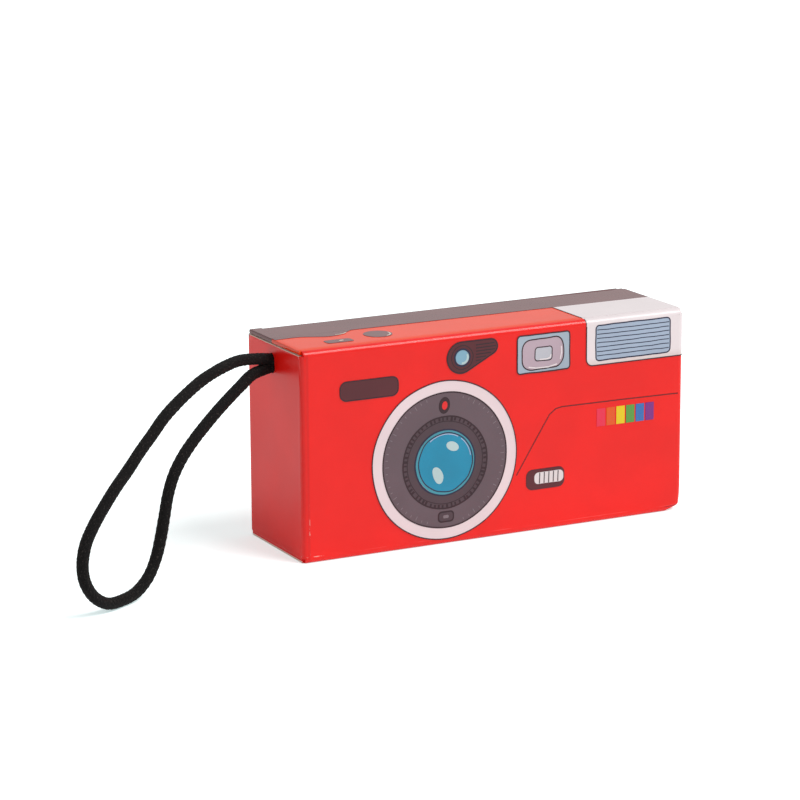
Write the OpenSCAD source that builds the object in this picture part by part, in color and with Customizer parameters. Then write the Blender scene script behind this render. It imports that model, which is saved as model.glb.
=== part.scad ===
/* [Carton] */
// Width of the carton across its front
carton_w = 122; // [110:1:150]
// Depth of the carton from front to back
carton_d = 36; // [32:1:50]
// Height of the carton with its lid closed
carton_h = 60; // [58:1:80]
// Thickness of the board
board_t = 1.2; // [0.8:0.1:1.4]
// Inner radius of a folded crease
crease_r = 0.4; // [0.3:0.1:0.8]
// Play between boards that lie on each other or move past each other
play = 0.2; // [0.15:0.05:0.3]
// Width of the slit at each end of the lid's crease
notch_w = 0.8; // [0.6:0.1:3]

/* [Flaps] */
// Length of a tuck flap
tuck_l = 9; // [6:0.5:12]
// Distance of a tuck flap's ends from the sides of the carton
tuck_inset = 4; // [3:0.5:10]
// Radius of a tuck flap's corners
tuck_corner_r = 4; // [2:0.5:6]
// Length of a dust flap
dust_l = 16; // [10:1:20]
// Distance of a dust flap's root from the front crease
dust_root_gap = 3; // [2:0.5:5]
// Taper of a dust flap's two ends, in degrees
dust_taper = 20; // [20:1:24]
// Width of the glue flap
glue_w = 12; // [8:1:16]
// Distance of the glue flap from the top and the bottom
glue_inset = 5; // [4:0.5:10]

/* [Strap] */
// Diameter of the cord
cord_d = 3.2; // [2.4:0.1:3.4]
// Distance of the cord's hole below the top
strap_drop = 6.8; // [6.8:0.2:16]
// Distance of the cord's hole behind the middle of the side
strap_y = 1.5; // [-4:0.5:6]
// Turn of the hanging loop towards the front, in degrees
strap_turn = 30; // [0:1:45]
// Distance of the loop's bend from the side of the carton
strap_reach = 3.6; // [3.6:0.1:6]
// Diameter of the knot behind the side
knot_d = 8; // [7:0.1:8]
// Length of the knot
knot_l = 8; // [6:0.5:10]

/* [Print] */
// Width of the front that the print is drawn for
art_w = 122; // [110:1:150]
// Height of the front that the print is drawn for
art_h = 60; // [52:1:80]
// Thickness of a printed film
ink_t = 0.1; // [0.05:0.01:0.12]
// Outer diameter of the lens ring
lens_ring_d = 45.5; // [43:0.5:45.5]
// Outer diameter of the lens barrel
lens_barrel_d = 39; // [30:0.5:41]
// Outer diameter of the lens bezel
lens_bezel_d = 26.5; // [21:0.5:29]
// Diameter of the lens glass
lens_glass_d = 18.5; // [12:0.5:20]
// Distance of the bezel's and the glass's middle below the ring's middle
lens_bezel_drop = 0.7; // [0:0.1:1.2]
// Width of the flash housing on the front
flash_w = 32.5; // [30:0.5:34]
// Height of the flash housing on the front
flash_h = 13.5; // [12.5:0.5:20]
// Width of the flash window
flash_window_w = 24.5; // [18:0.5:25]
// Height of the flash window
flash_window_h = 10; // [6:0.5:10]
// Width of the viewfinder frame
finder_w = 17; // [14:0.5:18]
// Height of the viewfinder frame
finder_h = 11; // [10:0.5:13]
// Width of the viewfinder window
finder_window_w = 13; // [8:0.5:13]
// Height of the viewfinder window
finder_window_h = 9; // [5:0.5:9]
// Width of the sensor window
sensor_w = 16; // [12:0.5:18]
// Height of the sensor window
sensor_h = 9; // [6:0.5:9]
// Diameter of the sensor window's narrow end
sensor_tip_d = 4.5; // [3:0.5:6]
// Diameter of the sensor's eye
eye_d = 4.2; // [3:0.1:5]
// Width of the blank label
label_w = 18; // [14:0.5:20]
// Height of the blank label
label_h = 5.5; // [4:0.5:7]
// Width of the slide switch
switch_w = 12.5; // [10:0.5:14]
// Height of the slide switch
switch_h = 6; // [5:0.5:9]
// Width of the colour bars together
bars_w = 19.5; // [15:0.5:24]
// Height of the colour bars
bars_h = 5.2; // [4:0.2:7]
// Width of the trim line
trim_w = 0.8; // [0.5:0.1:1.2]
// Distance of the dark rear band from the front crease, on the lid
band_y = 18; // [17:0.5:22]
// Diameter of the shutter button on the lid
button_d = 8.2; // [6:0.2:10]
// Width of the small key on the lid
key_w = 8.2; // [6:0.2:10]
// Depth of the small key on the lid
key_d = 3.8; // [3:0.2:6]

/* [Hidden] */

$fn = 64;

// Colours of the board, the prints and the cord
red = [0.93, 0.19, 0.18];
dark = [0.33, 0.2, 0.23];
white = [0.93, 0.89, 0.89];
grey = [0.45, 0.4, 0.42];
blue = [0.18, 0.59, 0.75];
pale_blue = [0.66, 0.71, 0.74];
black = [0.1, 0.1, 0.1];

// Overrun of a cut past the faces that it opens
over = 1;
// Gap between two prints that lie side by side
ink_gap = 0.15;

// Carton: half sizes, outer radius of a fold, and the span of the side walls between lid and bottom
half_w = carton_w / 2;
half_d = carton_d / 2;
fold_r = board_t + crease_r;
wall_low = board_t + play;
wall_high = carton_h - board_t - play;
crease_half_w = half_w - notch_w;
back_half_w = half_w - fold_r;

// Lid: line that it turns about, gap along that line, its half width and the middle of its rear fold
hinge_y = fold_r - half_d;
hinge_gap = play / 2;
lid_half_w = half_w - play;
tuck_half_w = half_w - tuck_inset;
fold_y = half_d - board_t - play - fold_r;
fold_z = carton_h - fold_r;

// Lean of a tuck flap, so that its edge passes the back panel as the lid opens
lid_reach = carton_d - board_t - play - fold_r;
tuck_pass = sqrt((lid_reach + hinge_gap) ^ 2 - (fold_r + tuck_l) ^ 2);
tuck_spare = 1;
tuck_lean = asin((lid_reach - tuck_pass) / tuck_l) + tuck_spare;

// Dust flaps: ends of their roots, and how far the taper draws in their free ends
dust_tuck_gap = 3 * play;
dust_front = hinge_y + dust_root_gap;
dust_rear = fold_y + crease_r - tuck_l * sin(tuck_lean) - dust_tuck_gap;
dust_draw = dust_l * tan(dust_taper);

// Strap: spacing of its two strands, its hole, and the middle of the bend outside the wall
strand_gap = 0.1;
strand_pitch = cord_d + strand_gap;
hole_gap = 0.15;
bend_r = (strand_pitch + cord_d) / 2;
strap_z = carton_h - strap_drop;
bend_at = [-half_w - strap_reach, strap_y, strap_z];
knot_turns = 3;
cord_sides = 8;

// Route of the loop: distance out from the bend in the loop's own upright plane, and height
loop_route = [[3.6, 54.9], [10, 56.1], [15.8, 55.8], [21.6, 55], [27.2, 53.8], [33, 51.9], [38.8, 49.6],
    [44.3, 46.9], [49.2, 43.6], [54.5, 40.2], [59.9, 36.3], [65.4, 32.6], [70.4, 28.7], [74.9, 24.7],
    [78.4, 20.4], [79.9, 15.3], [79, 10.3], [75.5, 5.6], [70, 2.4], [63.9, 1.7], [57.9, 2.3],
    [52.5, 5.1], [48.9, 9.5], [46.6, 14.6], [44.8, 20], [43, 25.5], [40.3, 30.4], [36.2, 34.6], [31, 38.2],
    [25.5, 41.3], [20, 44.1], [14.3, 46.7], [8.8, 49], [3.6, 51.5]];

// Middles of the prints, as shares of the carton's width from the left and of its height or depth
lens_place_shares = [0.361, 0.408];
finder_place_shares = [0.619, 0.867];
sensor_place_shares = [0.432, 0.889];
label_place_shares = [0.168, 0.793];
switch_place_shares = [0.625, 0.254];
bars_place_shares = [0.841, 0.517];
button_place_shares = [0.237, 0.316];
key_place_shares = [0.126, 0.231];
// Ends and corner of the trim line, as shares of the carton's width and height
trim_shares = [[0.983, 0.59], [0.645, 0.59], [0.548, 0.285]];
// Middle of the sensor's eye, as a share of the window's width from its left edge
eye_share = 0.3;
// Width of the bars and of the switch's ribs, as shares of their pitch
bar_share = 0.86;
rib_share = 0.5;
// Border of the switch round its ribs, as a share of its height
switch_border_share = 0.2;
bar_count = 6;
rib_count = 6;
// Corner radii of the rounded prints
small_corner_r = 1;
large_corner_r = 2;

// Print: fitted to the front that it is laid on
art_scale = min(carton_w / art_w, carton_h / art_h);

// Flash: edges of its housing, and the middle of its window on the front
flash_left = half_w - art_scale * flash_w;
flash_low = carton_h - art_scale * flash_h;
flash_front_w = half_w - fold_r - flash_left;
flash_front_h = fold_z - flash_low;
flash_window_at = [flash_left + flash_front_w / 2, flash_low + flash_front_h / 2 + small_corner_r / 2];
eye_x = sensor_w * (eye_share - 1 / 2);
// Distance that the prints on the lid keep from the crease that it turns about
crease_clear = 4 * play;

bar_colours = [[0.9, 0.15, 0.2], [0.98, 0.6, 0.1], [0.98, 0.85, 0.2], [0.3, 0.7, 0.3],
    [0.15, 0.5, 0.8], [0.4, 0.25, 0.6]];

function place(shares) = [carton_w * (shares[0] - 1 / 2), carton_h * shares[1]];
function lid_place(shares) = [carton_w * (shares[0] - 1 / 2), carton_d * (shares[1] - 1 / 2)];

// Outlines
module round_rect(w, h, r) {
    square([w - 2 * r, h], center = true);
    square([w, h - 2 * r], center = true);
    for (x = [-1, 1], y = [-1, 1])
        translate([x * (w / 2 - r), y * (h / 2 - r)])
            circle(r);
}

module tab_outline(w, l, r) {
    translate([-w / 2, 0])
        square([w, l - r]);
    translate([r - w / 2, 0])
        square([w - 2 * r, l]);
    for (x = [-1, 1])
        translate([x * (w / 2 - r), l - r])
            circle(r);
}

module ring(outer_d, inner_d) {
    difference() {
        circle(d = outer_d);
        circle(d = inner_d);
    }
}

module ring_sector(outer, inner, from, to) {
    intersection() {
        ring(2 * outer, 2 * inner);
        polygon(concat([[0, 0]], [for (i = [0 : 2]) let (a = from + (to - from) * i / 2)
            2 * outer * [cos(a), sin(a)]]));
    }
}

// Section of the front or the back with its two upright folds: side is -1 for the front
module wall_section(side) {
    intersection() {
        difference() {
            round_rect(carton_w, carton_d, fold_r);
            round_rect(carton_w - 2 * board_t, carton_d - 2 * board_t, crease_r);
        }
        translate([0, side * (half_d - fold_r / 2)])
            square([carton_w, fold_r], center = true);
    }
}

// A profile in depth and height, drawn out along the width to both sides of the middle
module along_width(half_l) {
    rotate([90, 0, 90])
        linear_extrude(2 * half_l, center = true)
            children();
}

module upside_down() {
    translate([0, 0, carton_h])
        mirror([0, 0, 1])
            children();
}

// Fold that joins the front to the lid, or to the bottom flap when turned over
module front_crease() {
    along_width(crease_half_w)
        translate([hinge_y, fold_z])
            ring_sector(fold_r, crease_r, 90, 180);
}

module front_panel() {
    color(red) {
        difference() {
            translate([0, 0, wall_low])
                linear_extrude(wall_high - wall_low)
                    wall_section(-1);
            for (z = [fold_r - over, fold_z])
                translate([-crease_half_w, -half_d - over, z])
                    cube([2 * crease_half_w, fold_r + 2 * over, over]);
        }
        front_crease();
        upside_down()
            front_crease();
    }
}

module back_panel() {
    color(red) {
        translate([0, 0, wall_low])
            linear_extrude(wall_high - wall_low)
                wall_section(1);
        translate([-back_half_w, half_d - board_t, 0])
            cube([2 * back_half_w, board_t, carton_h]);
    }
}

module side_board() {
    translate([half_w - board_t, hinge_y, wall_low])
        cube([board_t, -2 * hinge_y, wall_high - wall_low]);
}

module strap_slot() {
    for (z = [-1, 1])
        translate([0, z * strand_pitch / 2])
            circle(d = cord_d + 2 * hole_gap);
    square([cord_d + 2 * hole_gap, strand_pitch], center = true);
}

module left_panel() {
    color(red)
        difference() {
            mirror([1, 0, 0])
                side_board();
            translate([board_t / 2 - half_w, strap_y, strap_z])
                along_width(board_t)
                    strap_slot();
        }
}

module right_panel() {
    color(red)
        side_board();
}

module glue_flap() {
    glue_y = -hinge_y;
    color(white)
        translate([half_w - 3 * board_t / 2, 0, 0])
            along_width(board_t / 2)
                polygon([[glue_y, glue_inset], [glue_y, carton_h - glue_inset],
                    [glue_y - glue_w, carton_h - glue_inset - glue_w / 2],
                    [glue_y - glue_w, glue_inset + glue_w / 2]]);
}

// Closure of the carton: the lid, and the bottom when turned over
module closure_panel() {
    translate([-lid_half_w, hinge_y + hinge_gap, carton_h - board_t])
        cube([2 * lid_half_w, fold_y - hinge_y - hinge_gap, board_t]);
    for (x = [-lid_half_w, tuck_half_w])
        translate([x, fold_y, carton_h - board_t])
            cube([lid_half_w - tuck_half_w, fold_r, board_t]);
    along_width(tuck_half_w)
        translate([fold_y, fold_z])
            ring_sector(fold_r, crease_r, -tuck_lean, 90);
}

module closure_tuck_flap() {
    translate([0, fold_y, fold_z])
        rotate([-tuck_lean, 0, 0])
            translate([0, crease_r, 0])
                rotate([-90, 0, 0])
                    linear_extrude(board_t)
                        tab_outline(2 * tuck_half_w, tuck_l, tuck_corner_r);
}

module closure_dust_flap() {
    translate([board_t + play - half_w, 0, wall_high - board_t])
        linear_extrude(board_t)
            polygon([[0, dust_front], [dust_l, dust_front + dust_draw],
                [dust_l, dust_rear - dust_draw], [0, dust_rear]]);
}

module bottom_flap() {
    color(red)
        upside_down()
            closure_panel();
}

module bottom_tuck_flap() {
    color(red)
        upside_down()
            closure_tuck_flap();
}

module bottom_dust_flap_left() {
    color(red)
        upside_down()
            closure_dust_flap();
}

module bottom_dust_flap_right() {
    color(red)
        mirror([1, 0, 0])
            upside_down()
                closure_dust_flap();
}

module lid_panel() {
    color(red)
        closure_panel();
}

module lid_tuck_flap() {
    color(red)
        closure_tuck_flap();
}

module lid_dust_flap_left() {
    color(red)
        closure_dust_flap();
}

module lid_dust_flap_right() {
    color(red)
        mirror([1, 0, 0])
            closure_dust_flap();
}

// Strap: both strands from the knot through the wall to the round of the bend
module strap_root() {
    knot_face = board_t + play - half_w;
    color(black) {
        translate([bend_at.x, strap_y, strap_z])
            for (z = [-1, 1])
                translate([0, 0, z * strand_pitch / 2])
                    rotate([0, 90, 0])
                        cylinder(h = knot_face - bend_at.x, d = cord_d);
        translate(bend_at)
            sphere(bend_r);
    }
}

module strap_knot() {
    turn_d = knot_l / knot_turns;
    core_r = (knot_d - turn_d) / 2;
    color(black)
        translate([board_t + play - half_w, strap_y, strap_z])
            rotate([0, 90, 0])
                rotate_extrude() {
                    square([core_r, knot_l]);
                    for (i = [0 : knot_turns - 1])
                        translate([core_r, (i + 1 / 2) * turn_d])
                            intersection() {
                                circle(d = turn_d);
                                translate([-core_r, -turn_d])
                                    square([core_r + turn_d, 2 * turn_d]);
                            }
                }
}

// Loop: rings of points square to the route, joined into one closed tube
function unit(v) = v / norm(v);
function loop_point(p) = [bend_at.x - p[0] * cos(strap_turn), bend_at.y - p[0] * sin(strap_turn), p[1]];
function route_dir(i) =
    unit(loop_route[min(i + 1, len(loop_route) - 1)] - loop_route[max(i - 1, 0)]);
function ring_point(i, a) =
    let (p = loop_route[i], d = route_dir(i), q = p + cord_d / 2 * cos(a) * [-d[1], d[0]])
    loop_point(q) + cord_d / 2 * sin(a) * [-sin(strap_turn), cos(strap_turn), 0];

module strap_loop() {
    rings = len(loop_route);
    points = [for (i = [0 : rings - 1], k = [0 : cord_sides - 1]) ring_point(i, 360 * k / cord_sides)];
    sides = [for (i = [0 : rings - 2], k = [0 : cord_sides - 1])
        let (a = i * cord_sides, k2 = (k + 1) % cord_sides)
        each [[a + k, a + k2, a + cord_sides + k2], [a + k, a + cord_sides + k2, a + cord_sides + k]]];
    first = [for (k = [cord_sides - 1 : -1 : 0]) k];
    last = [for (k = [0 : cord_sides - 1]) (rings - 1) * cord_sides + k];
    color(black)
        polyhedron(points, concat(sides, [first, last]));
}

// Films: outlines laid on the front or the lid, and single features of the print laid there
module on_front() {
    translate([0, -half_d, 0])
        rotate([90, 0, 0])
            linear_extrude(ink_t)
                children();
}

module on_lid() {
    translate([0, 0, carton_h])
        linear_extrude(ink_t)
            children();
}

module front_feature(at) {
    on_front()
        translate(at)
            scale(art_scale)
                children();
}

module lid_feature(at) {
    on_lid()
        translate(at)
            scale(art_scale)
                children();
}

module lens_ring_print() {
    color(white)
        front_feature(place(lens_place_shares))
            ring(lens_ring_d, lens_barrel_d + 2 * ink_gap);
}

module lens_barrel_print() {
    color(grey)
        front_feature(place(lens_place_shares))
            difference() {
                circle(d = lens_barrel_d);
                translate([0, -lens_bezel_drop])
                    circle(d = lens_bezel_d + 2 * ink_gap);
            }
}

module lens_bezel_print() {
    color(dark)
        front_feature(place(lens_place_shares))
            translate([0, -lens_bezel_drop])
                ring(lens_bezel_d, lens_glass_d + 2 * ink_gap);
}

module lens_glass_print() {
    color(blue)
        front_feature(place(lens_place_shares))
            translate([0, -lens_bezel_drop])
                circle(d = lens_glass_d);
}

module flash_front_outline() {
    translate([0, large_corner_r])
        square([flash_front_w, flash_front_h - large_corner_r]);
    translate([large_corner_r, 0])
        square([flash_front_w - large_corner_r, flash_front_h]);
    translate([large_corner_r, large_corner_r])
        circle(large_corner_r);
}

module flash_window_outline(grow) {
    round_rect(flash_window_w + 2 * grow, flash_window_h + 2 * grow, small_corner_r + grow);
}

module flash_housing_print() {
    wrap_h = wall_high - flash_low;
    color(white) {
        on_front()
            difference() {
                translate([flash_left, flash_low])
                    flash_front_outline();
                translate(flash_window_at)
                    scale(art_scale)
                        flash_window_outline(ink_gap);
            }
        translate([half_w - fold_r, hinge_y, flash_low])
            linear_extrude(wrap_h)
                ring_sector(fold_r + ink_t, fold_r, -90, 0);
        translate([half_w, hinge_y, flash_low])
            cube([ink_t, band_y, wrap_h]);
    }
}

module flash_window_print() {
    color(pale_blue)
        front_feature(flash_window_at)
            flash_window_outline(0);
}

module finder_frame_print() {
    color(pale_blue)
        front_feature(place(finder_place_shares))
            difference() {
                round_rect(finder_w, finder_h, small_corner_r);
                round_rect(finder_window_w + 2 * ink_gap, finder_window_h + 2 * ink_gap, large_corner_r);
            }
}

module finder_window_print() {
    color(white)
        front_feature(place(finder_place_shares))
            round_rect(finder_window_w, finder_window_h, large_corner_r - ink_gap);
}

// A wide round at the left and a narrow one at the upper right, in one outline
module drop_outline(w, h, tip_d) {
    hull() {
        translate([(h - w) / 2, 0])
            circle(d = h);
        translate([(w - tip_d) / 2, (h - tip_d) / 2])
            circle(d = tip_d);
    }
}

module sensor_window_print() {
    color(dark)
        front_feature(place(sensor_place_shares))
            difference() {
                drop_outline(sensor_w, sensor_h, sensor_tip_d);
                translate([eye_x, 0])
                    circle(d = eye_d + 2 * ink_gap);
            }
}

module sensor_eye_print() {
    color(pale_blue)
        front_feature(place(sensor_place_shares))
            translate([eye_x, 0])
                circle(d = eye_d);
}

module label_print() {
    color(dark)
        front_feature(place(label_place_shares))
            round_rect(label_w, label_h, large_corner_r);
}

module switch_print() {
    border = switch_h * switch_border_share;
    rib_pitch = (switch_w - 2 * border) / rib_count;
    color(dark)
        front_feature(place(switch_place_shares))
            difference() {
                round_rect(switch_w, switch_h, large_corner_r);
                for (i = [0 : rib_count - 1])
                    translate([border - switch_w / 2 + (i + 1 / 2) * rib_pitch, 0])
                        square([rib_pitch * rib_share, switch_h - 2 * border], center = true);
            }
}

module colour_bar_print() {
    bar_pitch = bars_w / bar_count;
    for (i = [0 : bar_count - 1])
        color(bar_colours[i])
            front_feature(place(bars_place_shares))
                translate([(i + 1 / 2) * bar_pitch - bars_w / 2, 0])
                    square([bar_pitch * bar_share, bars_h], center = true);
}

module trim_stroke(from, to) {
    turn = atan2(to[1] - from[1], to[0] - from[0]);
    translate(from)
        rotate(turn)
            translate([0, -trim_w / 2])
                square([norm(to - from), trim_w]);
}

module trim_line_print() {
    ends = [for (share = trim_shares) place(share)];
    color(dark)
        on_front() {
            trim_stroke(ends[0], ends[1]);
            trim_stroke(ends[1], ends[2]);
            translate(ends[1])
                circle(d = trim_w);
        }
}

module lid_flash_print() {
    color(white)
        on_lid()
            translate([flash_left, hinge_y + crease_clear])
                square([lid_half_w - flash_left, band_y - ink_gap - crease_clear]);
}

module lid_band_print() {
    color(dark)
        on_lid()
            translate([-lid_half_w, hinge_y + band_y])
                square([2 * lid_half_w, fold_y - hinge_y - band_y]);
}

module lid_button_print() {
    color(dark)
        lid_feature(lid_place(button_place_shares))
            circle(d = button_d);
}

module lid_key_print() {
    color(dark)
        lid_feature(lid_place(key_place_shares))
            round_rect(key_w, key_d, small_corner_r);
}

front_panel();
back_panel();
left_panel();
right_panel();
glue_flap();
bottom_flap();
bottom_tuck_flap();
bottom_dust_flap_left();
bottom_dust_flap_right();
lid_panel();
lid_tuck_flap();
lid_dust_flap_left();
lid_dust_flap_right();
strap_root();
strap_knot();
strap_loop();
lens_ring_print();
lens_barrel_print();
lens_bezel_print();
lens_glass_print();
flash_housing_print();
flash_window_print();
finder_frame_print();
finder_window_print();
sensor_window_print();
sensor_eye_print();
label_print();
switch_print();
colour_bar_print();
trim_line_print();
lid_flash_print();
lid_band_print();
lid_button_print();
lid_key_print();
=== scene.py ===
import math

import bmesh
import bpy
from mathutils import Euler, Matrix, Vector, noise
from mathutils.geometry import tessellate_polygon


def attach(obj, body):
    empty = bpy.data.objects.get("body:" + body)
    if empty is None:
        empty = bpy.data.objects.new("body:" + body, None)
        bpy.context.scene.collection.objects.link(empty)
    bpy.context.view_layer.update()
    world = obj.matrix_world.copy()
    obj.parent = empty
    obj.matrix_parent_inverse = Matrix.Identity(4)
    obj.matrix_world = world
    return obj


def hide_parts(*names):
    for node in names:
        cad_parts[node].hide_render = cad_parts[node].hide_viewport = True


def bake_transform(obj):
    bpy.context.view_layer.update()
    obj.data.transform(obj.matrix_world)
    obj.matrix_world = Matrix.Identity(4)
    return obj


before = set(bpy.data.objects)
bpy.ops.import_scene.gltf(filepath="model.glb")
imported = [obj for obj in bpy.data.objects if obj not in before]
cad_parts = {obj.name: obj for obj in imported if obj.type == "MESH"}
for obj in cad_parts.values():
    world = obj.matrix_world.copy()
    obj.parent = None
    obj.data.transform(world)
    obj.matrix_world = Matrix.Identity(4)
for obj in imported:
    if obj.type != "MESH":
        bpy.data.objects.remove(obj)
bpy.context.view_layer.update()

# Seed of the noise, so that each run gives the same result
noise.seed_set(7)

MM = 0.001

# Carton, in millimetres, as in the part's source
HALF_W, HALF_D, TOP = 61.0, 18.0, 60.0
BOARD, FOLD_R = 1.2, 1.6
FLAT_W = HALF_W - FOLD_R
FOLD_Y = HALF_D - FOLD_R
FOLD_Z = TOP - FOLD_R
WALL_LOW, WALL_HIGH, SIDE_LOW = 1.4, 58.6, 1.25
CREASE_W = 60.2
LID_W, TUCK_W, EAR_Y = 60.8, 57.0, 16.6
LID_FRONT, LID_FOLD_Y = -16.3, 15.0
TUCK_L, TUCK_R, TUCK_LEAN = 9.0, 4.0, math.radians(11.52)
DUST_ROOT, DUST_L = 59.6, 16.0
DUST_FRONT, DUST_REAR, DUST_DRAW = -13.4, 13.0, 5.82
GLUE_Y, GLUE_W, GLUE_INSET = 16.4, 12.0, 5.0

# Only in the scene, in millimetres: the back's top edge and its rise to the right, the dent of the
# lower right front corner, and a tolerance
BACK_TOP, BACK_RISE = 59.35, 0.5
DENT = Vector((-0.2, 0.2, 1.35))
NEAR = 0.01

# Heights of the print, in millimetres: ink of the solids, drawn lines, films of colour, marks, and
# the gap that keeps films apart
INK, LINE, FILM, MARK, GAP = 0.1, 0.04, 0.02, 0.03, 0.002

# Cord, in millimetres: width, half the straight part of its hole, bend outside the wall, turn of the
# loop's plane, the route in that plane as distance and height, and the braid's strands and pitch
CORD_D, HOLE_HALF = 3.2, 1.1
BEND = Vector((-64.6, 1.5, 53.2))
TURN = math.radians(30)
ROUTE = [
    (3.6, 55.4), (10, 56.1), (15.8, 55.8), (21.6, 55), (27.2, 53.8), (33, 51.9), (38.8, 49.6),
    (44.3, 46.9), (49.2, 43.6), (54.5, 40.2), (59.9, 36.3), (65.4, 32.6), (70.4, 28.7), (74.9, 24.7),
    (78.4, 20.4), (79.9, 15.3), (79, 10.3), (75.5, 5.6), (70, 2.4), (63.9, 1.7), (57.9, 2.3),
    (52.5, 5.1), (48.9, 9.5), (46.6, 14.6), (44.8, 20), (43, 25.5), (40.3, 30.4), (36.2, 34.6),
    (31, 38.2), (25.5, 41.3), (20, 44.1), (14.3, 46.7), (8.8, 49), (3.6, 51),
]
BRAID_STRANDS, BRAID_PITCH = 8, 2.0

# Knot behind the wall, in millimetres: where it starts, its length, its turns and their radius
KNOT_X, KNOT_L, KNOT_TURNS, KNOT_R = -58.2, 6.7596, 3, 2.62

# Places of the print, in millimetres across and up the front, or across and back on the lid
LENS = (-17.0, 24.5)
GLASS = (-17.0, 23.8)
FINDER = (14.5, 52.02)
SENSOR = (-8.3, 53.34)
EYE = (-11.5, 53.34)
SWITCH = (15.25, 15.24)
FLASH_LEFT, FLASH_LOW = 28.5, 46.5
FLASH_WINDOW = (43.95, 52.95)
BAND_Y = 1.6
BUTTON = (-32.1, -6.6)
KEY = (-45.6, -9.7)
HUMP = (-43.6, 1.6)
LABEL = (-40.5, 47.6)
LENS_WINDOW = (-16.8, 8.1)
DROP_W, DROP_WIDE_R, DROP_TIP_R = 16.0, 4.5, 2.25
BARS_LEFT, BARS_W = 31.85, 19.5

# Colours, linear: print, drawn lines, board, wear and a painted highlight
RED = (0.88, 0.0075, 0.004)
LID_RED = (0.92, 0.05, 0.003)
PLUM = (0.1, 0.016, 0.022)
BAND = (0.165, 0.058, 0.06)
WHITE = (0.83, 0.745, 0.755)
HOUSING_SHADE = (0.62, 0.46, 0.4)
LINE_INK = (0.035, 0.012, 0.018)
RAW = (0.86, 0.7, 0.6)
RAW_RIM = (0.95, 0.72, 0.62)
CREAM = (0.75, 0.69, 0.62)
# Painted highlight along the bottom crease of the front
PAINTED_CREASE_HIGHLIGHT = (0.9, 0.06, 0.05)
SPLIT_RED = (0.36, 0.002, 0.008)
WEAR = 0.6
BAR_COLOURS = (
    (0.84, 0.02, 0.07), (0.8, 0.1, 0.002), (0.82, 0.62, 0.0),
    (0.1, 0.34, 0.05), (0.03, 0.16, 0.47), (0.2, 0.02, 0.24),
)
BAR_SHADE = (0.3, 0.2, 0.2)
CORD_BLACK, CORD_FIBRE = (0.0022, 0.002, 0.002), (0.012, 0.0105, 0.0105)
CORD_WORN, LINT = (0.0045, 0.004, 0.0038), (0.06, 0.05, 0.043)

# Light: the key lamp's direction, strength and width in degrees; strength of the world for the rest
# and for mirrored rays; glow of the floor for the camera and for mirrored rays; its size in metres
KEY_FROM, KEY_LEVEL, KEY_ANGLE = (0.28, -0.32, 0.55), 0.695, 35
AMBIENT, BACKDROP = 0.42, 0.85
FLOOR_GLOW, FLOOR_SHEEN = 0.5, 0.16
FLOOR_SIZE = 30
FLOOR_COLOUR, GLOW_COLOUR = (0.98, 0.98, 0.98, 1), (0.8, 1, 1, 1)

# Camera: lens and sensor in millimetres, reach in metres, place in millimetres, turn in degrees
CAMERA_LENS, CAMERA_SENSOR, CAMERA_REACH = 142.25, 36, 100
CAMERA_AT = (-415.91, -776.73, 246.28)
CAMERA_TURN = (76.586, 0.318, -26.974)


# Shaders
SOCKETS = {
    "colour": "Base Color", "rough": "Roughness", "specular": "Specular IOR Level",
    "coat": "Coat Weight", "coat_rough": "Coat Roughness", "coat_ior": "Coat IOR",
    "sheen": "Sheen Weight", "sheen_rough": "Sheen Roughness",
}


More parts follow.
